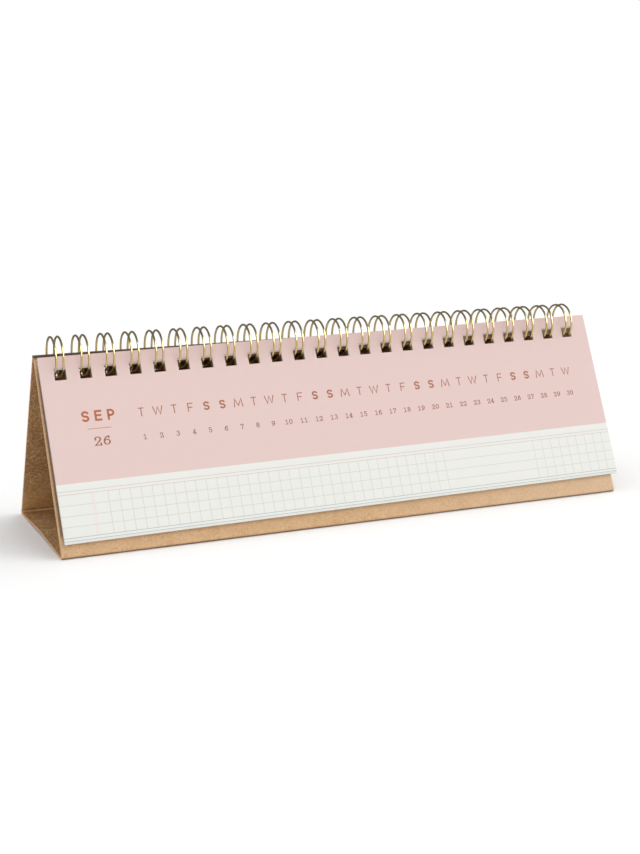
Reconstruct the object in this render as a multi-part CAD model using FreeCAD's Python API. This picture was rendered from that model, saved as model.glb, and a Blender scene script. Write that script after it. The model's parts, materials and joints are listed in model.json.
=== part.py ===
import FreeCAD, Part
import math
import os

# A long desk calendar. A board easel, folded like a tent, stands on its base. A twin-loop wire
# runs through its two top edges and through the punched leaves: one stack of leaves hangs in
# front, the other has been turned over to the back. Lengths are in millimetres. X runs along
# the ridge, the front faces -Y and Z is up from the table.

Vector = FreeCAD.Vector

# Binding wire, with its loops at the standard two to the inch
loop_count = 24
loop_pitch = 12.7
wire_diameter = 1.05
leg_spacing = 3.7         # between the centre lines of a loop's two legs
ring_radius = 10.0        # to the wire's centre line
ring_behind_ridge = 0.5   # the leaves at the back draw the rings that way
ring_below_peak = 3.84    # ring centre under the line where the panels' outer planes meet
closing_gap = 1.8         # from a loop's tip to the root line, along the ring
root_bend_radius = 1.0
root_stub = 1.5           # straight end of the wire past its first and its last loop

# The wire is drawn six-sided, on short straight runs round its bends
wire_sides = 6
leg_runs = 15
tip_runs = 4
bend_runs = 2

# Easel, folded from one strip of board whose two ends meet at the ridge
easel_end_margin = 11.1   # from the end loops' centres to the strip's ends
easel_depth = 90.0        # between the panels' outer planes at the table
peak_height = 94.5        # where those two planes would meet
board = 1.2
fold_inner_radius = 0.2   # inside of the two foot folds
foot_width = 4.0          # flat strip that stands on the table beside each fold
crease_lift = 1.6         # how far the base rises to its middle crease
ridge_gap = 0.2           # between the strip's two ends
easel_hole_lower = 0.3    # hole centre down the panel from the wire that passes through it

# Holes, one to a loop and the same in the board and the leaves
hole_side_play = 0.675    # each side of a loop's two legs
hole_height_play = 5.15   # above and below the wire, together

# Leaves
leaf_thickness = 0.12
leaf_short_of_panel = 12.5
hole_below_top = 6.0      # from a leaf's top edge to its holes
first_hole_inset = 10.2   # from a leaf's left edge to its first hole's centre
last_hole_inset = 13.3    # from its last hole's centre to its right edge

front_count = 4
front_air = 1.9           # between the front panel and the stack where the wire crosses them,
front_foot_air = 1.2      # and at the stack's foot
front_slide = 0.3         # sideways play that the stack has taken up on the wire
front_first_gap = 1.4     # over the wire in the first hole: the stack hangs askew,
front_last_gap = 0.8      # its right end high, and this is under the wire in the last

turned_count = 8
turned_air = 0.3          # between the back panel and the stack
turned_slide = -0.2
turned_rest_gap = 0.45    # between the wire and the tops of the holes that hang on it

FRONT = -1
BACK = 1
lean = math.atan2(easel_depth / 2, peak_height)
panel_length = math.hypot(easel_depth / 2, peak_height)
loop_row = (loop_count - 1) * loop_pitch
loop_places = [index * loop_pitch - loop_row / 2 for index in range(loop_count)]
hole_width = leg_spacing + wire_diameter + 2 * hole_side_play
hole_height = wire_diameter + hole_height_play
leaf_length = first_hole_inset + loop_row + last_hole_inset
leaf_height = panel_length - leaf_short_of_panel


def on_panel(side, x, down, out):
    """Point that lies `down` a panel from the peak line and `out` from its outer face."""
    y = side * (down * math.sin(lean) + out * math.cos(lean))
    z = peak_height - down * math.cos(lean) + out * math.sin(lean)
    return Vector(x, y, z)


def outward(side):
    """Unit normal of a panel's outer face."""
    return on_panel(side, 0, 0, 1) - on_panel(side, 0, 0, 0)


def wire_crossing(side, out):
    """Distance down a panel where the wire's centre line crosses the plane `out` from its face."""
    centre_down = ring_below_peak * math.cos(lean) + side * ring_behind_ridge * math.sin(lean)
    centre_out = side * ring_behind_ridge * math.cos(lean) - ring_below_peak * math.sin(lean)
    return centre_down + math.sqrt(ring_radius ** 2 - (out - centre_out) ** 2)


def panel_rectangle(side, left, right, top, height, out):
    """Closed rectangle on the plane `out` from a panel's outer face."""
    corners = [(left, top), (right, top), (right, top + height), (left, top + height)]
    points = [on_panel(side, x, down, out) for x, down in corners]
    return Part.makePolygon(points + points[:1])


def hole_outline(side, x, top, out):
    """Outline of the hole round the loop at x."""
    return panel_rectangle(side, x - hole_width / 2, x + hole_width / 2, top, hole_height, out)


def rounded_outline(corners):
    """Closed wire in the plane X = 0 round (y, z, radius) corners, its bends tangent arcs."""
    starts, ends, bends = [], [], []
    for index, (y, z, radius) in enumerate(corners):
        corner = Vector(0, y, z)
        to_last = (Vector(0, *corners[index - 1][:2]) - corner).normalize()
        to_next = (Vector(0, *corners[(index + 1) % len(corners)][:2]) - corner).normalize()
        half_angle = to_last.getAngle(to_next) / 2
        reach = radius / math.tan(half_angle)
        inward = (to_last + to_next).normalize()
        starts.append(corner + to_last * reach)
        ends.append(corner + to_next * reach)
        bends.append(corner + inward * (radius / math.sin(half_angle) - radius))
    edges = []
    for index, (start, end, bend) in enumerate(zip(starts, ends, bends)):
        if corners[index][2] > 0:
            edges.append(Part.Arc(start, bend, end).toShape())
        edges.append(Part.makeLine(end, starts[(index + 1) % len(corners)]))
    return Part.Wire(edges)


def easel_outline():
    """Section of the folded strip: down the front panel, across the base and up the back."""
    ridge_down = (ridge_gap / 2 + board * math.cos(lean)) / math.sin(lean)
    ridge_outer = on_panel(BACK, 0, ridge_down, 0)
    ridge_inner = on_panel(BACK, 0, ridge_down, -board)
    inner_foot = (peak_height - board / math.sin(lean) - board) * math.tan(lean)
    fold_radius = fold_inner_radius + board
    fold_reach = fold_radius / math.tan((math.pi / 2 - lean) / 2)
    foot_edge = easel_depth / 2 - fold_reach - foot_width
    outer_half = [
        (ridge_outer.y, ridge_outer.z, 0),
        (easel_depth / 2, 0, fold_radius),
        (foot_edge, 0, 0),
    ]
    inner_half = [
        (foot_edge, board, 0),
        (inner_foot, board, fold_inner_radius),
        (ridge_inner.y, ridge_inner.z, 0),
    ]
    outer_crease = [(0, crease_lift, 0)]
    inner_crease = [(0, crease_lift + board, 0)]
    right = outer_crease + outer_half[::-1] + inner_half[::-1] + inner_crease
    left = [(-y, z, radius) for y, z, radius in right[-2:0:-1]]
    return rounded_outline(right + left)


def easel_holes(side):
    """Prisms that punch one panel where the loops pass through it."""
    middle = wire_crossing(side, -board / 2) + easel_hole_lower
    mouths = [hole_outline(side, x, middle - hole_height / 2, board) for x in loop_places]
    return [Part.Face(mouth).extrude(outward(side) * (-3 * board)) for mouth in mouths]


def easel_stand():
    """The folded strip of board with its two rows of holes."""
    easel_length = loop_row + 2 * easel_end_margin
    strip = Part.Face(easel_outline()).extrude(Vector(easel_length, 0, 0))
    strip.translate(Vector(-easel_length / 2, 0, 0))
    return strip.cut(easel_holes(FRONT) + easel_holes(BACK))


def arc_points(centre, radius, start, stop, runs):
    """Points of an arc in the flat wire's plane, angles in degrees from the X direction."""
    angles = [math.radians(start + (stop - start) * step / runs) for step in range(runs + 1)]
    return [(centre[0] + radius * math.cos(a), centre[1] + radius * math.sin(a)) for a in angles]


def loop_outline():
    """One finger of the flat wire, from root line to root line: (x, along) points."""
    leg = leg_spacing / 2
    tip = 2 * math.pi * ring_radius - closing_gap
    root = arc_points((-leg - root_bend_radius, root_bend_radius), root_bend_radius, -90, 0, bend_runs)
    leg_end = tip - leg
    step = (leg_end - root_bend_radius) / leg_runs
    rising = [(-leg, root_bend_radius + step * index) for index in range(1, leg_runs)]
    side = root + rising
    return side + arc_points((0, leg_end), leg, 180, 0, tip_runs) + [(-x, a) for x, a in side[::-1]]


def rolled_up(x, along):
    """Place on the ring of a point of the flat wire, with the closing gap at the very bottom."""
    angle = (along + closing_gap / 2) / ring_radius
    y = ring_behind_ridge + ring_radius * math.sin(angle)
    z = peak_height - ring_below_peak - ring_radius * math.cos(angle)
    return Vector(x, y, z)


def carried_section(path, radius, sides):
    """Solid left by a regular polygon carried along a path and mitred at its corners."""
    runs = [(end - start).normalize() for start, end in zip(path, path[1:])]
    angles = [2 * math.pi * index / sides for index in range(sides)]
    ring = [path[0] + Vector(0, radius * math.cos(a), radius * math.sin(a)) for a in angles]
    rings = [ring]
    mitres = [(run + turned).normalize() for run, turned in zip(runs, runs[1:])] + [runs[-1]]
    for corner, run, mitre in zip(path[1:], runs, mitres):
        ring = [p + run * ((corner - p).dot(mitre) / run.dot(mitre)) for p in ring]
        rings.append(ring)
    faces = [Part.Face(Part.makePolygon(end + end[:1])) for end in (rings[0], rings[-1])]
    for near, far in zip(rings, rings[1:]):
        for index in range(sides):
            quad = [near[index - 1], near[index], far[index], far[index - 1], near[index - 1]]
            faces.append(Part.Face(Part.makePolygon(quad)))
    return Part.makeSolid(Part.makeShell(faces))


def twin_loop_wire():
    """One length of wire, bent flat into a row of fingers and rolled up into rings."""
    stub = leg_spacing / 2 + root_bend_radius + root_stub
    flat = [(loop_places[0] - stub, 0)]
    for place in loop_places:
        flat += [(place + x, along) for x, along in loop_outline()]
    flat.append((loop_places[-1] + stub, 0))
    same_area = math.sqrt(2 * math.pi / (wire_sides * math.sin(2 * math.pi / wire_sides)))
    path = [rolled_up(x, along) for x, along in flat]
    return carried_section(path, same_area * wire_diameter / 2, wire_sides)


def leaf_stack(side, count, air, slide, hole_top):
    """Punched leaves lying on each other along a panel, `hole_top` down it from the peak."""
    left = loop_places[0] + slide - first_hole_inset
    top = hole_top - hole_below_top
    sheet = panel_rectangle(side, left, left + leaf_length, top, leaf_height, air)
    holes = [hole_outline(side, place + slide, hole_top, air) for place in loop_places]
    face = Part.makeFace([sheet] + holes, "Part::FaceMakerCheese")
    return face.extrude(outward(side) * (count * leaf_thickness))


def front_leaves():
    """The stack that is read, hanging askew on the wire by the play in its holes, foot inwards."""
    crossing = wire_crossing(FRONT, front_air + front_count * leaf_thickness / 2)
    hole_top = crossing - wire_diameter / 2 - front_first_gap
    stack = leaf_stack(FRONT, front_count, front_air, front_slide, hole_top)
    rise = hole_height_play - front_first_gap - front_last_gap
    pivot = on_panel(FRONT, loop_places[0] + front_slide, crossing, front_air)
    stack.rotate(pivot, outward(FRONT), math.degrees(math.asin(rise / loop_row)))
    wire_to_foot = hole_top - hole_below_top + leaf_height - crossing
    tilt = math.asin((front_air - front_foot_air) / wire_to_foot)
    stack.rotate(pivot, Vector(1, 0, 0), math.degrees(tilt))
    return stack


def turned_leaves():
    """The months gone by, hanging behind from the tops of their holes."""
    outer_face = turned_air + turned_count * leaf_thickness
    slant = math.acos((outer_face + ring_below_peak * math.sin(lean)) / ring_radius)
    hole_top = wire_crossing(BACK, outer_face) - wire_diameter / 2 / math.sin(slant) - turned_rest_gap
    return leaf_stack(BACK, turned_count, turned_air, turned_slide, hole_top)


def main():
    """Builds the pieces, centres them over the origin and writes one file for each."""
    pieces = {
        "easel_stand": easel_stand(),
        "twin_loop_wire": twin_loop_wire(),
        "front_leaves": front_leaves(),
        "turned_leaves": turned_leaves(),
    }
    whole = FreeCAD.BoundBox()
    for piece in pieces.values():
        whole.add(piece.BoundBox)
    move = Vector(-whole.Center.x, -whole.Center.y, 0)
    print("moved by", move)
    os.makedirs("parts", exist_ok=True)
    for name, piece in pieces.items():
        piece.translate(move)
        piece.exportStep("parts/" + name + ".step")
        print(name, piece.isValid(), len(piece.Solids), round(piece.Volume, 1), piece.BoundBox)


main()
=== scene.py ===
import functools
import json
import math

import bmesh
import bpy
import numpy as np
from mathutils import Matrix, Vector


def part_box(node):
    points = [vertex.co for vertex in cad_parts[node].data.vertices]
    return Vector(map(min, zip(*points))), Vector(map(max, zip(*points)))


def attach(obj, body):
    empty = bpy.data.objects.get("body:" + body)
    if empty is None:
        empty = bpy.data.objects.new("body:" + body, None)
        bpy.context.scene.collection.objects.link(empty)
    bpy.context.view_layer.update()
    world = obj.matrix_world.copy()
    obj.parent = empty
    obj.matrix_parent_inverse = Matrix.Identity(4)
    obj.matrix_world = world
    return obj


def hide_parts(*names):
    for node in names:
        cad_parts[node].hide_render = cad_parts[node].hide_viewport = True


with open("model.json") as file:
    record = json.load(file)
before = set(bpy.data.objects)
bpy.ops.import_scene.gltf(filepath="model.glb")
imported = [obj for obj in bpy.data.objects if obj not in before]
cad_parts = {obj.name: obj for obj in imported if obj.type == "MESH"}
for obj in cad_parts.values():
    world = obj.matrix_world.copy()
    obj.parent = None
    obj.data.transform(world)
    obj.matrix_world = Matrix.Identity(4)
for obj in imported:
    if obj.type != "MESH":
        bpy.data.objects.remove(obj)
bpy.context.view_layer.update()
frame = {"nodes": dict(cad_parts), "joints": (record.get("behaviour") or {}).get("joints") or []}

# The looks of a long desk calendar: a folded kraft board easel, twin-loop binding wire and two
# stacks of punched leaves. Lengths are in metres unless a comment says millimetres. X runs along
# the ridge, the front faces -Y and Z is up from the table.

MM = 0.001
X, Y, Z = (1, 0, 0), (0, 1, 0), (0, 0, 1)

# Binding wire
LOOP_COUNT = 24
LOOP_PITCH = 12.7 * MM
WIRE_RADIUS = 0.525 * MM
LEG_SPACING = 3.7 * MM
CLOSING_GAP = 1.8 * MM
ROOT_BEND = 1.0 * MM
ROOT_STUB = 1.5 * MM
ROOT_POINTS = 7           # along one root bend, one leg and one tip
LEG_POINTS = 44
TIP_POINTS = 15
PROFILE_STEP = 30         # degrees round the wire

# Folded board
EASEL_DEPTH = 90.0 * MM
PEAK_HEIGHT = 94.5 * MM
BOARD = 1.2 * MM
FOLD_RADIUS = 1.4 * MM    # outside of the two foot folds
FOOT_WIDTH = 4.0 * MM
CREASE_LIFT = 1.6 * MM
RIDGE_GAP = 0.2 * MM
EASEL_HOLE_LOWER = 0.3 * MM
PANEL_ROWS = (40 * MM, 70 * MM)    # down a panel, between the holes and the fold
FOLD_POINTS = 10

# Punched holes
HOLE_WIDTH = 6.1 * MM
HOLE_HEIGHT = 6.2 * MM
HOLE_BELOW_TOP = 6.0 * MM
FIRST_HOLE_INSET = 10.2 * MM

# Leaves
LEAF_PITCH = 0.12 * MM
LEAF_THICKNESS = 0.1 * MM
INK_THICKNESS = 0.02 * MM

LEAN = math.atan2(EASEL_DEPTH / 2, PEAK_HEIGHT)
LOOP_ROW = (LOOP_COUNT - 1) * LOOP_PITCH
PRINT_MIDDLE = (FIRST_HOLE_INSET + LOOP_ROW / 2) / MM    # millimetres from the leaf's left edge
# Half the width between the inner corners of the two foot folds
INNER_FOLD = (PEAK_HEIGHT - BOARD / math.sin(LEAN) - BOARD) * math.tan(LEAN)

wire_low, wire_high = (np.array(corner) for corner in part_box("twin_loop_wire"))
stand_low, stand_high = (np.array(corner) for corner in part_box("easel_stand"))
ring_centre = np.array(frame["joints"][0]["pos_m"])    # both hinges lie on the rings' axis
ring_radius = wire_high[2] - ring_centre[2] - WIRE_RADIUS
steps_from_middle = np.arange(LOOP_COUNT) - (LOOP_COUNT - 1) / 2
loop_places = (wire_low[0] + wire_high[0]) / 2 + LOOP_PITCH * steps_from_middle


# ---------------------------------------------------------------- shapes

def piece(name, parts, finishes, body, stands_for=(), soften=None):
    """Mesh object made of closed parts, each a pair of corners and faces, or with a third list
    that gives every face its finish. All faces are turned outwards."""
    corners, faces, kinds, count = [], [], [], 0
    for part_corners, part_faces, *part_kinds in parts:
        corners.append(np.reshape(part_corners, (-1, 3)))
        faces += [[count + index for index in face] for face in part_faces]
        kinds += list(part_kinds[0]) if part_kinds else [0] * len(part_faces)
        count += len(corners[-1])
    mesh = bpy.data.meshes.new(name)
    mesh.from_pydata(np.concatenate(corners).tolist(), [], faces)
    for finish in finishes:
        mesh.materials.append(finish.material)
    mesh.polygons.foreach_set("material_index", kinds)
    shell = bmesh.new()
    shell.from_mesh(mesh)
    bmesh.ops.recalc_face_normals(shell, faces=shell.faces)
    shell.to_mesh(mesh)
    shell.free()
    if soften is not None:
        mesh.polygons.foreach_set("use_smooth", [True] * len(mesh.polygons))
        mesh.set_sharp_from_angle(angle=math.radians(soften))
    made = bpy.data.objects.new(name, mesh)
    bpy.context.scene.collection.objects.link(made)
    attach(made, body)
    if stands_for:
        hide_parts(*stands_for)


def carried(points, side, rise, profile, ring=False):
    """Profile carried along a line: at each point, the profile's first number is laid off along
    `side` and its second along `rise`. Rings join up, other lines get a cap at each end."""
    sideways = side[:, None] * profile[None, :, :1]
    corners = points[:, None] + sideways + rise[:, None] * profile[None, :, 1:]
    node = np.arange(len(points) * len(profile)).reshape(len(points), len(profile))
    near, far = (node, np.roll(node, -1, axis=0)) if ring else (node[:-1], node[1:])
    quads = np.stack([near, np.roll(near, -1, 1), np.roll(far, -1, 1), far], -1)
    quads = quads.reshape(-1, 4).tolist()
    return corners, quads if ring else quads + [node[0].tolist(), node[-1].tolist()]


def punched_sheet(face, back, kept):
    """Sheet between two grids of points, `face` and `back`: a quad on both sides for each kept
    cell of the grid, and a wall wherever a kept cell ends. `face` and `back` are (column, row, 3)
    arrays. Faces are 0 front, 1 back and 2 cut edge."""
    across, down = kept.shape
    layer = (across + 1) * (down + 1)
    node = np.arange(layer).reshape(across + 1, down + 1)
    i, j = np.nonzero(kept)
    cell = np.stack([node[i, j], node[i + 1, j], node[i + 1, j + 1], node[i, j + 1]], -1)
    around = np.pad(kept, 1)
    steps = [((-1, 0), (0, 3)), ((1, 0), (1, 2)), ((0, -1), (0, 1)), ((0, 1), (3, 2))]
    walls = []
    for (step_i, step_j), (start, end) in steps:
        open_side = ~around[i + 1 + step_i, j + 1 + step_j]
        first, last = cell[open_side, start], cell[open_side, end]
        walls.append(np.stack([first, last, last + layer, first + layer], -1))
    walls = np.concatenate(walls)
    faces = np.concatenate([cell, cell[:, ::-1] + layer, walls])
    kinds = np.repeat([0, 1, 2], [len(cell), len(cell), len(walls)])
    corners = np.concatenate([face.reshape(-1, 3), back.reshape(-1, 3)])
    return corners, faces.tolist(), kinds.tolist()


def loop_cuts(first, last, places):
    """Grid lines along the ridge, from the first edge to the last with both sides of each hole
    and a line between holes, and the marks of the columns that lie in a hole."""
    between = (places[:-1] + places[1:]) / 2
    sides = places - HOLE_WIDTH / 2, places + HOLE_WIDTH / 2
    lines = np.sort(np.concatenate([[first, last], *sides, between]))
    middles = (lines[:-1] + lines[1:]) / 2
    in_hole = (np.abs(middles[:, None] - places[None]) < HOLE_WIDTH / 2).any(1)
    return lines, in_hole


# ---------------------------------------------------------------- finishes

class Signal:
    """Wraps a node's socket, so that sums written in Python add Math nodes."""

    def __init__(self, finish, socket):
        self.finish = finish
        self.socket = socket

    def maths(self, operation, *terms):
        return self.finish.node("ShaderNodeMath", {"operation": operation}, dict(enumerate(terms)))

    def __add__(self, other):
        return self.maths("ADD", self, other)

    def __sub__(self, other):
        return self.maths("SUBTRACT", self, other)

    def __rsub__(self, other):
        return self.maths("SUBTRACT", other, self)

    def __mul__(self, other):
        return self.maths("MULTIPLY", self, other)

    def __truediv__(self, other):
        return self.maths("DIVIDE", self, other)

    def __lt__(self, other):
        return self.maths("LESS_THAN", self, other)

    def __gt__(self, other):
        return self.maths("GREATER_THAN", self, other)

    def __or__(self, other):
        return self.maths("MAXIMUM", self, other)

    def __abs__(self):
        return self.maths("ABSOLUTE", self)

    def part(self):
        """What is left over a whole number."""
        return self.maths("FRACT", self)

    __radd__ = __add__
    __rmul__ = __mul__


class Finish:
    """One material, or the world in its place, and the nodes that make its look."""

    def __init__(self, name, world=None):
        self.material = world or bpy.data.materials.new(name)
        self.material.use_nodes = True
        self.tree = self.material.node_tree
        self.tree.nodes.clear()

    @functools.cached_property
    def place(self):
        """Place on the object, in millimetres."""
        return self.vector("SCALE", self.node("ShaderNodeTexCoord", output="Object"), Scale=1 / MM)

    def node(self, kind, settings=None, sockets=None, output=0):
        """Adds a node: its settings first, then the values or links of its sockets."""
        node = self.tree.nodes.new(kind)
        for key, value in (settings or {}).items():
            setattr(node, key, value)
        for key, value in (sockets or {}).items():
            if isinstance(value, Signal):
                self.tree.links.new(value.socket, node.inputs[key])
            else:
                node.inputs[key].default_value = value
        return Signal(self, node.outputs[output]) if len(node.outputs) else node

    def vector(self, operation, *terms, output="Vector", **named):
        """Vector Math on places and directions."""
        sockets = dict(enumerate(terms)) | named
        return self.node("ShaderNodeVectorMath", {"operation": operation}, sockets, output)

    def along(self, axis, place=None):
        """How far a place, the place on the object if none is given, lies along an axis."""
        return self.vector("DOT_PRODUCT", place or self.place, axis, output="Value")

    def noise(self, size, detail, roughness=0.5, stretch=(1, 1, 1)):
        """Cloudy noise from 0 to 1 with lumps of about `size` millimetres."""
        place = self.vector("MULTIPLY", self.place, stretch) if stretch != (1, 1, 1) else self.place
        sockets = {"Vector": place, "Scale": 1 / size, "Detail": detail, "Roughness": roughness}
        return self.node("ShaderNodeTexNoise", {}, sockets, "Fac")

    def ramp(self, amount, low, high):
        """Takes `amount` from low..high to 0..1, level outside."""
        sockets = {"Value": amount, "From Min": low, "From Max": high}
        return self.node("ShaderNodeMapRange", {"clamp": True}, sockets, "Result")

    def between(self, amount, rise, fall):
        """1 between two soft edges, each from where it begins to where it is full."""
        return self.ramp(amount, *rise) * self.ramp(amount, *fall)

    def mix(self, amount, first, second):
        """Colour that goes from the first to the second as `amount` goes from 0 to 1."""
        sockets = {0: amount, 6: first, 7: second}
        return self.node("ShaderNodeMix", {"data_type": "RGBA"}, sockets, 2)

    def bump(self, height, strength, depth):
        """Normal of a surface that `height` raises by up to `depth` millimetres."""
        sockets = {"Height": height, "Strength": strength, "Distance": depth * MM}
        return self.node("ShaderNodeBump", {}, sockets, "Normal")

    def surface(self, **sockets):
        """Ends the material in a Principled shader; an underscore in a name stands for a space."""
        named = {key.replace("_", " "): value for key, value in sockets.items()}
        shader = self.node("ShaderNodeBsdfPrincipled", {}, named, "BSDF")
        self.node("ShaderNodeOutputMaterial", {}, {"Surface": shader})
        return self


def colour(red, green, blue):
    """Linear colour, with full alpha, of an sRGB colour given from 0 to 255."""
    share = np.array([red, green, blue]) / 255
    linear = np.where(share <= 0.04045, share / 12.92, ((share + 0.055) / 1.055) ** 2.4)
    return (*linear.tolist(), 1.0)


# Soft edges of the marks on the board, from where a mark begins to where it is full, in
# millimetres: painted shade and painted light, and the scored lines inside
RIDGE_SHADE = (90.6, 91.4)                            # height
HOLE_SHADE = (4.9, 3.4)                               # from the middle of a hole; painted shade beside the holes
HOLE_SHADE_HEIGHTS = (77, 79), (89, 86)
RIGHT_END_LIGHT = (0, 160)                               # height; painted shade along the ridge
TABLE_SHADE = (1.3, 0.4)                             # height; painted shade where the foot folds meet the table
LEAF_SHADOW_SIDES = (-158.3, -157.9), (-155.6, -156.4)   # along the ridge; painted shadow of the leaves' left edges
LEAF_SHADOW_HEIGHTS = (9, 11), (88, 80)
FOLD_LIGHT_INSIDE = (26, 4)                               # height; painted light inside, towards the foot folds
INSIDE_RIDGE_SHADE = (64, 86)                              # height; painted shade inside, up under the ridge
INSIDE_SHADE_FROM_MIDDLE = (157.5, 150)                     # clear of the open ends; painted shade inside
FOLD_SCORE = (0.6, 0.25)                            # from the inner corner of a foot fold
CREASE_SCORE = (0.5, 0.15)                          # from the middle of the base

# Heights inside the easel, in millimetres: just over the base, and above all scored lines
BASE_TOP = 2.9
SCORES_TOP = 3.6


def hole_shade(finish, height):
    """1 beside the punched holes, where shade is painted on the board, 0 away from them. The part
    of a pitch that is left over gives the way to the nearest hole."""
    pitch = LOOP_PITCH / MM
    loops = (finish.along(X) - float(loop_places[0]) / MM) / pitch
    to_loop = abs((loops + 0.5).part() - 0.5) * pitch
    beside = (loops > -0.5) * (loops < LOOP_COUNT - 0.5)
    return beside * finish.ramp(to_loop, *HOLE_SHADE) * finish.between(height, *HOLE_SHADE_HEIGHTS)


def kraft_board(name, low, high, mottle):
    """Brown recycled board: soft clouds, short pale fibres along the ridge and dark ones across it,
    fine specks, and painted shade beside the punched holes and along the ridge's edge. `mottle` is
    how strongly the fibres and specks show."""
    kraft = Finish(name)
    clouds = kraft.noise(9, detail=3)
    fibres = kraft.noise(0.9, detail=3, roughness=0.6, stretch=(0.35, 1.6, 1.6))
    cross_fibres = kraft.noise(0.8, detail=3, roughness=0.6, stretch=(1.6, 0.5, 0.5))
    specks = kraft.ramp(kraft.noise(0.45, detail=1), 0.66, 0.74)
    base = kraft.mix(kraft.ramp(clouds, 0.3, 0.7), low, high)
    base = kraft.mix(kraft.ramp(fibres, 0.45, 0.75) * mottle, base, colour(228, 194, 154))
    base = kraft.mix(kraft.ramp(cross_fibres, 0.5, 0.8) * mottle, base, colour(165, 120, 78))
    base = kraft.mix(specks * 0.9 * mottle, base, colour(120, 84, 52))
    height = kraft.along(Z)
    # Painted shade beside the punched holes
    base = kraft.mix(hole_shade(kraft, height) * 0.7, base, colour(72, 48, 32))
    # Painted shade along the ridge's edge
    base = kraft.mix(kraft.ramp(height + fibres, *RIDGE_SHADE) * 0.95, base, colour(70, 60, 48))
    return kraft, base, clouds, fibres + cross_fibres * 0.7


def kraft_face():
    """Outside of the easel, with painted light that makes it paler towards its right end, painted
    shade where the foot folds meet the table, and a narrow stripe of painted shadow where the
    leaves' left edges lie."""
    low, high = colour(205, 166, 124), colour(215, 178, 137)
    kraft, base, clouds, relief = kraft_board("kraft_board_face", low, high, 0.7)
    across, height = kraft.along(X), kraft.along(Z)
    # Painted light: paler towards the right end, where the light falls
    base = kraft.mix(kraft.ramp(across, *RIGHT_END_LIGHT) * 0.4, base, colour(226, 202, 176))
    # Painted shade where the foot folds meet the table
    base = kraft.mix(kraft.ramp(height, *TABLE_SHADE) * 0.8, base, colour(92, 68, 48))
    # Painted shadow of the leaves' left edges, in a narrow stripe on the board
    stripe = kraft.between(across, *LEAF_SHADOW_SIDES) * kraft.between(height, *LEAF_SHADOW_HEIGHTS)
    base = kraft.mix(stripe * 0.6, base, colour(108, 74, 64))
    return kraft.surface(
        Base_Color=base, Roughness=0.82 + clouds * 0.1,
        Normal=kraft.bump(relief, strength=0.5, depth=0.06), Specular_IOR_Level=0.25,
    )


def kraft_inside():
    """Inside of the easel: more mottled, with painted light down towards the foot folds and painted
    shade up under the ridge, and a pale line where it is scored at both folds and along the middle
    of the base."""
    low, high = colour(186, 140, 88), colour(218, 174, 122)
    kraft, base, clouds, relief = kraft_board("kraft_board_inside", low, high, 1.2)
    blotches = kraft.ramp(kraft.noise(1.1, detail=2, roughness=0.6), 0.38, 0.62)
    base = kraft.mix(blotches * 0.6, base, colour(128, 88, 48))
    from_middle, from_ridge, height = abs(kraft.along(X)), abs(kraft.along(Y)), kraft.along(Z)
    # Painted light, paler down towards the foot folds
    fold_light = kraft.ramp(height, *FOLD_LIGHT_INSIDE) * (height > BASE_TOP)
    base = kraft.mix(fold_light * 0.42, base, colour(255, 206, 140))
    fold = kraft.ramp(abs(from_ridge - INNER_FOLD / MM), *FOLD_SCORE)
    crease = kraft.ramp(from_ridge, *CREASE_SCORE)
    scored = (fold * 0.95 | crease * 0.5) * (height < SCORES_TOP)
    base = kraft.mix(scored, base, colour(248, 214, 170))
    # Painted shade up under the ridge, clear of the open ends
    inside_ridge_shade = kraft.ramp(height, *INSIDE_RIDGE_SHADE) * kraft.ramp(from_middle, *INSIDE_SHADE_FROM_MIDDLE)
    base = kraft.mix(inside_ridge_shade * 0.9, base, colour(58, 38, 26))
    return kraft.surface(
        Base_Color=base, Roughness=0.85 + clouds * 0.1,
        Normal=kraft.bump(relief, strength=0.6, depth=0.08), Specular_IOR_Level=0.2,
    )


def kraft_edge():
    """Cut edge of the board: paler, mottled with fibres that lie along the ridge, and darkened with
    the same painted shade as the faces beside it, along the ridge and beside the holes."""
    edge = Finish("kraft_board_cut_edge")
    layers = edge.noise(0.35, detail=2, roughness=0.6, stretch=(0.25, 1, 1))
    base = edge.mix(edge.ramp(layers, 0.3, 0.7), colour(206, 162, 126), colour(243, 204, 168))
    height = edge.along(Z)
    # Painted shade along the ridge and beside the holes
    dark = (edge.ramp(height, *RIDGE_SHADE) | hole_shade(edge, height)) * 0.85
    base = edge.mix(dark, base, colour(74, 54, 40))
    return edge.surface(
        Base_Color=base, Roughness=0.9, Normal=edge.bump(layers, strength=0.6, depth=0.08),
        Specular_IOR_Level=0.2,
    )


def gold_wire():
    """Steel wire with a pale gold coat: slightly uneven in colour, with fine marks that make it
    rougher and shallowly bumped."""
    wire = Finish("pale_gold_wire_coat")
    uneven = wire.noise(2.5, detail=2)
    marks = wire.noise(0.18, detail=2, roughness=0.6)
    base = wire.mix(wire.ramp(uneven, 0.3, 0.7), colour(216, 194, 134), colour(225, 203, 145))
    return wire.surface(
        Base_Color=base, Metallic=1.0, Roughness=0.2 + marks * 0.14,
        Normal=wire.bump(marks, strength=0.2, depth=0.02),
    )


def paper_grain(paper):
    """Uncoated paper's tooth and clouds, as a pair of signals."""
    return paper.noise(0.35, detail=3, roughness=0.6), paper.noise(7, detail=2)


def paper_surface(paper, base, tooth, roughness):
    """Ends a paper finish, matt and a little rough with the paper's tooth."""
    return paper.surface(
        Base_Color=base, Roughness=roughness + tooth * 0.12,
        Normal=paper.bump(tooth, strength=0.3, depth=0.02), Specular_IOR_Level=0.3,
    )


def plain_paper(name, low, high):
    """Blank side or cut edge of a leaf."""
    paper = Finish(name)
    tooth, clouds = paper_grain(paper)
    base = paper.mix(paper.ramp(clouds, 0.3, 0.7), low, high)
    return paper_surface(paper, base, tooth, 0.78)


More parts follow.
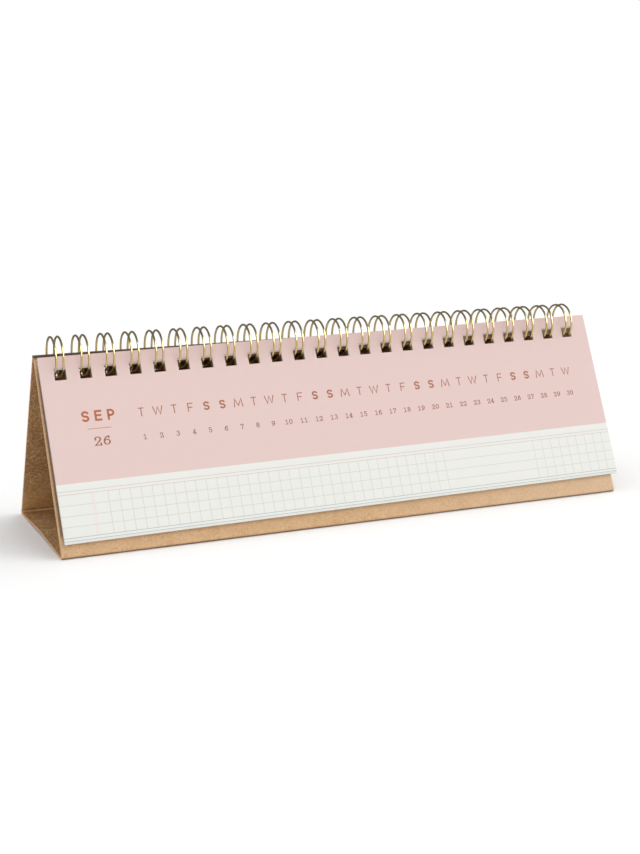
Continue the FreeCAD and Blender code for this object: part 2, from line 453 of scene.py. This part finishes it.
class Block:
    """Flat block of leaves in the frame: its upper left corner and its three directions. The
    widest face that looks up is its outer face, and the right end's face gives the way along."""

    def __init__(self, node):
        mesh = frame["nodes"][node].data
        normals = np.empty(3 * len(mesh.polygons), np.float32)
        areas = np.empty(len(mesh.polygons), np.float32)
        places = np.empty(3 * len(mesh.vertices), np.float32)
        mesh.polygons.foreach_get("normal", normals)
        mesh.polygons.foreach_get("area", areas)
        mesh.vertices.foreach_get("co", places)
        normals = normals.reshape(-1, 3).astype(float)
        places = places.reshape(-1, 3).astype(float)
        looks_up = normals[:, 2] > 0.1
        self.outward = normals[np.argmax(areas * looks_up)]
        along = normals[np.argmax(normals[:, 0])]
        self.along = along - self.outward * (along @ self.outward)
        self.along /= np.linalg.norm(self.along)
        self.down = np.cross(self.along, self.outward)
        self.down *= -np.sign(self.down[2])
        across, down, out = (places @ axis for axis in (self.along, self.down, self.outward))
        self.length, self.height = np.ptp(across), np.ptp(down)
        self.corner = self.along * across.min() + self.down * down.min() + self.outward * out.max()

    def at(self, across, down, out):
        """Places `across` and `down` from the upper left corner and `out` of the outer face."""
        across, down, out = np.broadcast_arrays(across, down, out)
        return (
            self.corner + across[..., None] * self.along + down[..., None] * self.down
            + out[..., None] * self.outward
        )

    def leaf(self, slide, drop, depth):
        """One leaf of the block, moved along and down in its own plane, `depth` under the face."""
        places = FIRST_HOLE_INSET + LOOP_PITCH * np.arange(LOOP_COUNT)
        columns, in_hole = loop_cuts(0, self.length, places)
        rows = np.array([0, HOLE_BELOW_TOP, HOLE_BELOW_TOP + HOLE_HEIGHT, self.height])
        kept = ~(in_hole[:, None] & np.array([False, True, False]))
        across, down = columns[:, None] + slide, rows[None] + drop
        face = self.at(across, down, -depth)
        back = self.at(across, down, -depth - LEAF_THICKNESS)
        return punched_sheet(face, back, kept)


# Print on the leaf, in millimetres across from the middle of the row of holes and down from the
# leaf's top edge
FIELD_DOWN_TO = 63.85
BAND_RULES = (67.5, 69.1)
BAND_RULE_WIDTH = 0.4
ROW_RULES = (74.5, 79.7, 84.9)
FOOT_RULES = (90.2, 91.65)
FOOT_RULE_WIDTH = 0.35
MARGIN_RULES = (-139.9, -138.9)
MARGIN_RULE_WIDTH = 0.35
GRID_RULE_WIDTH = 0.3
GRID_START = -131.6
GRID_PITCH = 5.6
NO_COLUMNS = (53.7, 108.7)    # across, where the grid has rows only
MONTH_SIGNS = ("S", -138.95, 3.8), ("E", -132.4, 3.7), ("P", -125.95, 3.7)    # left, width
MONTH_LABEL = {"top": 28.75, "height": 5.45, "pen": 1.05}
SHORT_RULE = (-136.7, 37.9), (-125.0, 37.9)
SHORT_RULE_WIDTH = 0.26
YEAR_LABEL = {
    "left": -134.4, "top": 41.8, "width": 3.6, "height": 4.9,
    "pen": 0.8, "contrast": 0.55, "gap": 0.95,
}
DAYS = 30
FIRST_DAY = -108.65
DAY_PITCH = 8.57
WEEK = "TWTFSSM"              # from the month's first day
WEEKDAY_WIDTHS = {"M": 5.1, "W": 5.3, "T": 2.9, "F": 2.9, "S": 3.2}
WEEKDAY_PENS = {"M": 0.58, "W": 0.58, "T": 0.5, "F": 0.5, "S": 0.85}
WEEKDAY_ROW = {"top": 29.6, "height": 4.5}
DAY_NUMBERS = {
    "top": 43.1, "width": 1.85, "height": 2.75, "pen": 0.44, "contrast": 0.3, "gap": 0.4,
}

PAPER_WHITE = colour(233, 233, 227)
PINK = colour(226, 200, 195)
PALE_GREY = colour(196, 192, 188)
RULE_PINK = colour(207, 190, 184)
MARGIN_PINK = colour(238, 203, 201)
RULE_GREY = colour(205, 208, 202)
RULE_BLUE = colour(171, 184, 186)


def rules(position, centres, width):
    """1 on the printed lines of that width at those places, 0 beside them."""
    on_line = [abs(position - centre) < width / 2 for centre in centres]
    return functools.reduce(Signal.__or__, on_line)


def printed_leaf(name, block, field):
    """Printed face of a leaf: a coloured field over a white band of ledger rules. A rule is where
    the way across or down the leaf is within half a width of the rule's place."""
    paper = Finish(name)
    tooth, clouds = paper_grain(paper)
    from_corner = paper.vector("SUBTRACT", paper.place, (block.corner / MM).tolist())
    across = paper.along(block.along.tolist(), from_corner) - PRINT_MIDDLE
    down = paper.along(block.down.tolist(), from_corner)

    base = paper.mix(paper.ramp(clouds, 0.3, 0.7), colour(231, 232, 226), PAPER_WHITE)
    in_rows = (down > BAND_RULES[1]) * (down < FOOT_RULES[0])
    rows = rules(down, ROW_RULES, GRID_RULE_WIDTH)
    to_line = abs(((across - GRID_START) / GRID_PITCH + 0.5).part() - 0.5)
    in_grid = (across > GRID_START - GRID_PITCH / 2) * in_rows
    bare = (across > NO_COLUMNS[0]) * (across < NO_COLUMNS[1])
    columns = (to_line < GRID_RULE_WIDTH / 2 / GRID_PITCH) * in_grid * (1 - bare)
    margin = rules(across, MARGIN_RULES, MARGIN_RULE_WIDTH) * in_rows
    band = rules(down, BAND_RULES, BAND_RULE_WIDTH)
    foot = rules(down, FOOT_RULES, FOOT_RULE_WIDTH)
    base = paper.mix((rows | columns) * 0.9, base, RULE_GREY)
    base = paper.mix(margin * 0.6, base, MARGIN_PINK)
    base = paper.mix(band * 0.65, base, RULE_PINK)
    base = paper.mix(foot * 0.8, base, RULE_BLUE)
    base = paper.mix((down < FIELD_DOWN_TO) * (0.97 + clouds * 0.03), base, field)
    return paper_surface(paper, base, tooth, 0.75)


def ink(name, low, high):
    """Matt copper-coloured ink that takes a little of the paper's tooth."""
    print_ink = Finish(name)
    tooth, clouds = paper_grain(print_ink)
    base = print_ink.mix(print_ink.ramp(tooth, 0.35, 0.7), low, high)
    return print_ink.surface(
        Base_Color=base, Roughness=0.5 + clouds * 0.1,
        Normal=print_ink.bump(tooth, strength=0.3, depth=0.01), Specular_IOR_Level=0.2,
    )


# ---------------------------------------------------------------- lettering

def arc(centre_x, centre_y, radius_x, radius_y, start, stop, points=15):
    """Points of an elliptic arc, angles in degrees."""
    angles = np.radians(np.linspace(start, stop, points))
    return np.stack([centre_x + radius_x * np.cos(angles), centre_y + radius_y * np.sin(angles)], 1)


def line(*points):
    """Points of a run of straight lines."""
    return np.array(points, float)


TWO = [
    np.vstack([arc(0.5, 0.72, 0.46, 0.28, 165, -30), line((0.0, 0.0), (1.0, 0.0))]),
    line((0.07, 0.68), (0.07, 0.8)), line((1.0, 0.0), (1.0, 0.17)),
]
FIVE = np.vstack([line((0.92, 1), (0.16, 1), (0.09, 0.56)), arc(0.47, 0.31, 0.5, 0.32, 118, -150)])
SIX = [
    arc(0.95, 0.32, 0.95, 0.68, 100, 180), arc(0.5, 0.3, 0.5, 0.3, 180, 540),
    line((0.88, 0.84), (0.88, 0.96)),
]

# Strokes of each sign in a box one wide and one high
GLYPHS = {
    "S": [np.vstack([arc(0.5, 0.75, 0.5, 0.25, 30, 270), arc(0.5, 0.25, 0.5, 0.25, 90, -145)[1:]])],
    "E": [line((1, 1), (0, 1), (0, 0), (1, 0)), line((0, 0.52), (0.9, 0.52))],
    "P": [np.vstack([line((0, 0), (0, 1)), arc(0.45, 0.71, 0.55, 0.29, 90, -90), line((0, 0.42))])],
    "T": [line((0, 1), (1, 1)), line((0.5, 1), (0.5, 0))],
    "W": [line((0, 1), (0.25, 0), (0.5, 0.98), (0.75, 0), (1, 1))],
    "M": [line((0, 0), (0.12, 1), (0.5, 0.12), (0.88, 1), (1, 0))],
    "F": [line((1, 1), (0, 1), (0, 0)), line((0, 0.5), (0.85, 0.5))],
    "0": [arc(0.5, 0.5, 0.5, 0.5, 90, 450, 25)],
    "1": [line((0.12, 0.8), (0.52, 1), (0.52, 0)), line((0.1, 0), (0.95, 0))],
    "2": TWO,
    "3": [arc(0.5, 0.76, 0.42, 0.24, 155, -90), arc(0.48, 0.27, 0.5, 0.27, 90, -155)],
    "4": [line((1, 0.28), (0, 0.28), (0.7, 1)), line((0.7, 1), (0.7, 0)), line((0.4, 0), (1, 0))],
    "5": [FIVE],
    "6": SIX,
    "7": [line((0, 0.85), (0.05, 1), (1, 1), (0.35, 0))],
    "8": [arc(0.5, 0.76, 0.4, 0.24, 90, 450, 21), arc(0.5, 0.26, 0.5, 0.26, 90, 450, 21)],
    "9": [1 - stroke for stroke in SIX],
}
MITRE_LIMIT = 1.8
STROKE_STEP = 0.001 * MM


def stroke_part(path, pen, contrast, block, lift):
    """Slab of ink along a stroke. At each point it is as wide as the pen, less where the stroke
    runs level if the lettering has contrast, and is cut at the mitre of the two runs. An open
    stroke goes on for half a pen past both of its ends."""
    ring = bool(np.allclose(path[0], path[-1]))
    path = path[:-1] if ring else path
    runs = np.roll(path, -1, axis=0) - path if ring else np.diff(path, axis=0)
    runs = runs / np.linalg.norm(runs, axis=1, keepdims=True)
    if not ring:
        path = np.vstack([path[0] - runs[0] * pen / 2, path[1:-1], path[-1] + runs[-1] * pen / 2])
    before = np.roll(runs, 1, axis=0) if ring else np.vstack([runs[:1], runs])
    after = runs if ring else np.vstack([runs, runs[-1:]])
    mitre = before + after
    mitre /= np.linalg.norm(mitre, axis=1, keepdims=True)
    stretch = np.minimum(1 / np.abs((mitre * after).sum(1)), MITRE_LIMIT)
    width = pen * (1 - contrast * (1 - np.abs(mitre[:, 1])))
    sideways = np.stack([-mitre[:, 1], mitre[:, 0]], 1) * (stretch * width)[:, None]
    points = block.at(path[:, 0] * MM, path[:, 1] * MM, lift)
    side = (sideways[:, :1] * block.along + sideways[:, 1:] * block.down) * MM
    rise = np.broadcast_to(block.outward, side.shape)
    profile = np.array([(-0.5, -INK_THICKNESS), (0.5, -INK_THICKNESS), (0.5, 0), (-0.5, 0)])
    return carried(points, side, rise, profile, ring)


def lettering(block, text, left, top, width, height, pen, contrast=0.0, gap=0.0):
    """Ink parts of a short text whose signs stand in boxes of that width and height, `left` and
    `top` in the print's millimetres. Later strokes lie a hair higher than earlier ones."""
    parts = []
    for place, sign in enumerate(text):
        box_left = PRINT_MIDDLE + left + place * (width + gap) + pen / 2
        for level, stroke in enumerate(GLYPHS[sign]):
            path = np.stack([
                box_left + stroke[:, 0] * (width - pen),
                top + pen / 2 + (1 - stroke[:, 1]) * (height - pen),
            ], 1)
            lift = INK_THICKNESS / 2 + level * STROKE_STEP
            parts.append(stroke_part(path, pen, contrast, block, lift))
    return parts


# ---------------------------------------------------------------- pieces

def finger_line():
    """One finger of the flat wire, from root line to root line, as (across, along) points: a
    quarter bend, a leg, half a circle round the tip, and the same again backwards."""
    leg = LEG_SPACING / 2
    leg_end = 2 * math.pi * ring_radius - CLOSING_GAP - leg
    root = arc(-leg - ROOT_BEND, ROOT_BEND, ROOT_BEND, ROOT_BEND, -90, 0, ROOT_POINTS)
    rise = np.linspace(ROOT_BEND, leg_end, LEG_POINTS)[1:-1]
    side = np.vstack([root, np.stack([np.full(rise.size, -leg), rise], 1)])
    return np.vstack([side, arc(0, leg_end, leg, leg, 180, 0, TIP_POINTS), side[::-1] * (-1, 1)])


def binding_wire(finish):
    """Round wire along the row of fingers, the flat row rolled on a cylinder about the ridge:
    the way along a finger becomes the angle, and the profile stands square to the wire."""
    places = np.stack([loop_places, np.zeros(LOOP_COUNT)], 1)
    fingers = (finger_line()[None] + places[:, None]).reshape(-1, 2)
    stub = np.array([LEG_SPACING / 2 + ROOT_BEND + ROOT_STUB, 0])
    flat = np.vstack([places[0] - stub, fingers, places[-1] + stub])
    angle = (flat[:, 1] + CLOSING_GAP / 2) / ring_radius
    radial = np.stack([np.zeros(angle.size), np.sin(angle), -np.cos(angle)], 1)
    points = ring_centre + radial * ring_radius
    points[:, 0] = flat[:, 0]
    run = np.gradient(points, axis=0)
    side = np.cross(run, radial)
    side /= np.linalg.norm(side, axis=1, keepdims=True)
    turn = np.radians(np.arange(0, 360, PROFILE_STEP))
    profile = WIRE_RADIUS * np.stack([np.cos(turn), np.sin(turn)], 1)
    part = carried(points, side, radial, profile)
    piece("twin_loop_binding", [part], [finish], "easel", ["twin_loop_wire"],
          soften=60)


def on_panel(down, out):
    """(y, z) of a point `down` the back panel from the peak line, `out` from its outer face."""
    return np.array([
        down * math.sin(LEAN) + out * math.cos(LEAN),
        PEAK_HEIGHT - down * math.cos(LEAN) + out * math.sin(LEAN),
    ])


def wire_crossing(out):
    """Way down the back panel to where the wire crosses the plane `out` from its outer face."""
    below, behind = PEAK_HEIGHT - ring_centre[2], ring_centre[1]
    centre_down = below * math.cos(LEAN) + behind * math.sin(LEAN)
    centre_out = behind * math.cos(LEAN) - below * math.sin(LEAN)
    return centre_down + math.sqrt(ring_radius ** 2 - (out - centre_out) ** 2)


def easel_section():
    """Outer and inner line of the folded strip's back half, ridge to crease, as (y, z) rows: the
    ridge, the hole's top and bottom, down the panel, round the fold, along the foot and up to
    the crease."""
    ridge = (RIDGE_GAP / 2 + BOARD * math.cos(LEAN)) / math.sin(LEAN)
    hole_middle = wire_crossing(-BOARD / 2) + EASEL_HOLE_LOWER
    hole_ends = hole_middle - HOLE_HEIGHT / 2, hole_middle + HOLE_HEIGHT / 2
    fold_reach = FOLD_RADIUS / math.tan((math.pi / 2 - LEAN) / 2)
    panel_end = math.hypot(EASEL_DEPTH / 2, PEAK_HEIGHT) - fold_reach
    downs = [ridge, *hole_ends, *PANEL_ROWS, panel_end]
    centre = on_panel(panel_end, -FOLD_RADIUS)
    turn = np.linspace(LEAN, -math.pi / 2, FOLD_POINTS)[1:, None]
    around = np.hstack([np.cos(turn), np.sin(turn)])
    foot = centre[0] - FOOT_WIDTH
    flat = np.array([(foot, 0), (foot / 2, CREASE_LIFT / 2), (0, CREASE_LIFT)])
    outer, inner = (
        np.vstack([
            [on_panel(down, -under) for down in downs], centre + (FOLD_RADIUS - under) * around,
            flat + (0, under),
        ])
        for under in (0, BOARD)
    )
    return outer, inner


def easel_board(finishes):
    """Strip of board bent along its section: the section's back half and its mirror image in
    front, carried along the ridge, with a hole in both punched stretches at every loop."""
    outer, inner = easel_section()
    flip = (-1, 1)
    outer = np.vstack([outer * flip, outer[-2::-1]])
    inner = np.vstack([inner * flip, inner[-2::-1]])
    columns, in_hole = loop_cuts(stand_low[0], stand_high[0], loop_places)
    punched = np.zeros(len(outer) - 1, bool)
    punched[[1, -2]] = True                # the second stretch from the ridge on both panels
    kept = ~(in_hole[:, None] & punched[None])
    x = np.broadcast_to(columns[:, None, None], (len(columns), len(outer), 1))
    face = np.concatenate([x, np.broadcast_to(outer, (len(columns), *outer.shape))], -1)
    back = np.concatenate([x, np.broadcast_to(inner, (len(columns), *inner.shape))], -1)
    piece("easel_board", [punched_sheet(face, back, kept)], finishes, "easel",
          ["easel_stand"], soften=25)


def leaf_stack(name, block, above, shifts, finishes, body, node):
    """Leaves lying on each other under `above` others, each slid along and dropped a little in
    its own plane by its pair of millimetres."""
    parts = [block.leaf(slide * MM, drop * MM, LEAF_PITCH * depth)
             for depth, (slide, drop) in enumerate(shifts, above)]
    piece(name, parts, finishes, body, [node])


def leaf_print(block, month_ink, letter_ink, number_ink):
    """Month label, short rule, year, weekday initials and day numbers on the top leaf."""
    month = []
    for sign, left, width in MONTH_SIGNS:
        month += lettering(block, sign, left, width=width, **MONTH_LABEL)
    short_rule = np.array(SHORT_RULE) + (PRINT_MIDDLE, 0)
    month.append(stroke_part(short_rule, SHORT_RULE_WIDTH, 0, block, INK_THICKNESS / 2))
    piece("month_print", month, [month_ink], "front_stack")

    letters, numbers = [], lettering(block, "26", **YEAR_LABEL)
    for day in range(DAYS):
        middle = FIRST_DAY + DAY_PITCH * day
        sign = WEEK[day % len(WEEK)]
        width, pen = WEEKDAY_WIDTHS[sign], WEEKDAY_PENS[sign]
        letters += lettering(block, sign, middle - width / 2, width=width, pen=pen, **WEEKDAY_ROW)
        label = str(day + 1)
        width = DAY_NUMBERS["width"] * len(label) + DAY_NUMBERS["gap"] * (len(label) - 1)
        numbers += lettering(block, label, middle - width / 2, **DAY_NUMBERS)
    piece("weekday_print", letters, [letter_ink], "front_stack")
    piece("day_number_print", numbers, [number_ink], "front_stack")


blank_paper = plain_paper("blank_leaf_face", colour(231, 231, 225), PAPER_WHITE)
# The leaves' cut edges are given a dark grey-brown: painted shade
shaded_cut_paper = plain_paper("leaf_cut_edge_painted_shade", colour(108, 92, 86), colour(138, 122, 114))
front_block = Block("front_leaves")
turned_block = Block("turned_leaves")

binding_wire(gold_wire())
easel_board([kraft_face(), kraft_inside(), kraft_edge()])
leaf_stack("top_leaf", front_block, 0, [(0, 0)],
           [printed_leaf("top_leaf_face", front_block, PINK), blank_paper, shaded_cut_paper],
           "front_stack", "front_leaves")
leaf_stack("leaves_below", front_block, 1, [(-0.25, 0.8), (-0.05, 0.7), (-0.15, 0.85)],
           [printed_leaf("lower_leaf_face", front_block, PALE_GREY), blank_paper, shaded_cut_paper],
           "front_stack", "front_leaves")
leaf_stack("leaves_turned_over", turned_block, 0,
           [(0, 0), (-0.2, 0.05), (0.1, 0), (-0.1, 0.1),
            (0.05, 0.04), (-0.25, 0), (0, 0.08), (-0.15, 0.02)],
           [blank_paper, blank_paper, shaded_cut_paper], "turned_stack", "turned_leaves")
leaf_print(front_block, ink("copper_ink", colour(162, 92, 58), colour(178, 106, 70)),
           ink("pale_copper_ink", colour(152, 92, 66), colour(166, 106, 80)),
           ink("dark_copper_ink", colour(140, 86, 62), colour(156, 102, 78)))


# ---------------------------------------------------------------- stage

# Places are a turn to the right of the front and a rise above level, in degrees. Edges are the
# cosine of the angle from the place, where the light begins and where it is full.
DARK_FILL = 0.47
WINDOW_FILL = 1.26
WINDOW_PLACE = (70, 58)
WINDOW_EDGE = (-0.1, 0.9)
STUDIO_DARK = 0.17
PANEL_LIGHT = 12
PANEL_PLACE = (28, 32)
PANEL_EDGE = (0.88, 0.96)
CARD_LIGHT = 0.95
CARD_PLACE = (20, -35)
CARD_EDGE = (0.2, 0.8)
KEY_PLACE = (75, 45)
KEY_SPREAD = 25          # degrees
KEY_STRENGTH = 0.35
CAMERA_PLACE = (-23.67, 12.55)
CAMERA_DISTANCE = 0.7846
CAMERA_TARGET = (-5.15 * MM, 0, 42.51 * MM)
CAMERA_LENS = 61.39      # millimetres, as is the sensor
CAMERA_SENSOR = 36
FLOOR_HALF = 9.0


def stage_floor():
    """Level square sheet, far larger than the view."""
    paint = Finish("pale_floor")
    clouds = paint.noise(400, detail=2)
    base = paint.mix(paint.ramp(clouds, 0.3, 0.7), colour(250, 250, 250), colour(252, 252, 252))
    paint.surface(Base_Color=base, Roughness=0.9, Specular_IOR_Level=0.1)
    corners = FLOOR_HALF * np.array([(-1, -1, 0), (1, -1, 0), (1, 1, 0), (-1, 1, 0)])
    made = bpy.data.meshes.new("floor")
    made.from_pydata(corners.tolist(), [], [[0, 1, 2, 3]])
    made.materials.append(paint.material)
    floor = bpy.data.objects.new("floor", made)
    bpy.context.scene.collection.objects.link(floor)
    floor.visible_glossy = False


def towards(azimuth, elevation):
    """Direction at a turn to the right of the front and a rise above level, in degrees."""
    turn, rise = math.radians(azimuth), math.radians(elevation)
    return math.sin(turn) * math.cos(rise), -math.cos(turn) * math.cos(rise), math.sin(rise)


def aimed(name, data, direction, place):
    """Lamp or camera standing at a place, looking back against the direction."""
    made = bpy.data.objects.new(name, data)
    made.location = place
    made.rotation_mode = "QUATERNION"
    made.rotation_quaternion = Vector(direction).to_track_quat("Z", "Y")
    bpy.context.scene.collection.objects.link(made)
    return made


def key_light():
    """Broad soft light from far away, left out of what the wire mirrors."""
    light = bpy.data.lights.new("key", "SUN")
    light.angle, light.energy = math.radians(KEY_SPREAD), KEY_STRENGTH
    direction = towards(*KEY_PLACE)
    aimed("key", light, direction, direction).visible_glossy = False


def room():
    """White room. As light it is a soft fill that comes mostly from above on the right. What
    shines mirrors a dark studio with a bright panel and, low down, a white card in front, so
    that the wire shows its form."""
    walls = Finish("room", bpy.data.worlds.new("room"))
    seen, mirrored = (
        walls.node("ShaderNodeLightPath", output=ray) for ray in ("Is Camera Ray", "Is Glossy Ray")
    )
    direction = walls.node("ShaderNodeTexCoord", output="Generated")
    lights = (WINDOW_PLACE, WINDOW_EDGE), (PANEL_PLACE, PANEL_EDGE), (CARD_PLACE, CARD_EDGE)
    window, panel, card = (
        walls.ramp(walls.along(towards(*place), direction), *edge) for place, edge in lights
    )
    fill = DARK_FILL + (WINDOW_FILL - DARK_FILL) * window
    studio = STUDIO_DARK + (PANEL_LIGHT - STUDIO_DARK) * panel
    studio = studio + (CARD_LIGHT - STUDIO_DARK) * card
    strength = fill + (studio - fill) * mirrored
    strength = strength + (1 - strength) * seen
    sockets = {"Color": (1, 1, 1, 1), "Strength": strength}
    light = walls.node("ShaderNodeBackground", {}, sockets, "Background")
    walls.node("ShaderNodeOutputWorld", {}, {"Surface": light})
    bpy.context.scene.world = walls.material


def camera():
    """Camera at the view's angle: a turn to the left, a little above, and a long lens."""
    direction = towards(*CAMERA_PLACE)
    data = bpy.data.cameras.new("camera")
    data.sensor_width, data.lens = CAMERA_SENSOR, CAMERA_LENS
    place = Vector(CAMERA_TARGET) + Vector(direction) * CAMERA_DISTANCE
    bpy.context.scene.camera = aimed("camera", data, direction, place)


stage_floor()
key_light()
room()
camera()
bpy.context.scene.view_settings.view_transform = "Standard"
